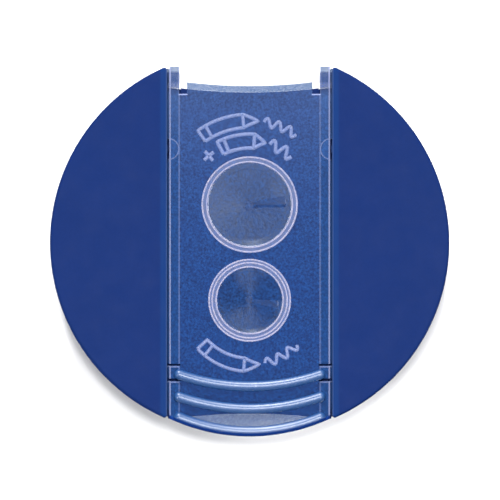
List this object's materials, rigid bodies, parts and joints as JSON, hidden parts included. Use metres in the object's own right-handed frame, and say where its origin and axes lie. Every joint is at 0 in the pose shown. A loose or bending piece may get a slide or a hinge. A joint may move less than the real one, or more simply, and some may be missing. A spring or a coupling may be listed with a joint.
{
  "type": "drum pencil sharpener",
  "caption": "Round hand-held drum pencil sharpener with a large and a small pencil hole, a sliding translucent front cover and a pull-off shavings tub.",
  "frame": {"origin": "centre of the flat back that the sharpener lies on, on the drum's axis", "axes": "+Z out of the front face with the pencil holes, +X across the cover's channel, -Y the way the cover slides open"},
  "size_m": [0.0572, 0.053, 0.0414],
  "materials": {
    "tub_plastic": "satin moulded blue plastic",
    "core_plastic": "fine matte moulded blue plastic",
    "shell_plastic": "smooth moulded blue plastic",
    "cover_plastic": "frosted translucent blue plastic",
    "cast_metal": "die-cast, fine turned marks in the holes",
    "blade_steel": "ground carbon steel",
    "screw_steel": "bright nickel plating"
  },
  "bodies": {
    "tub": {"rear_tub": "tub_plastic"},
    "front": {"core_frame": "core_plastic", "left_shell": "shell_plastic", "right_shell": "shell_plastic", "sharpener_block": "cast_metal", "large_blade": "blade_steel", "small_blade": "blade_steel", "large_blade_screw": "screw_steel", "small_blade_screw": "screw_steel"},
    "cover": {"slide_cover": "cover_plastic"}
  },
  "joints": [
    {"name": "front_pull_off", "type": "slide", "parent": "tub", "child": "front", "axis": [0, 0, 1], "range_m": [0, 0.03]},
    {"name": "cover_slide", "type": "slide", "parent": "front", "child": "cover", "axis": [0, -1, 0], "range_m": [0, 0.042]}
  ]
}
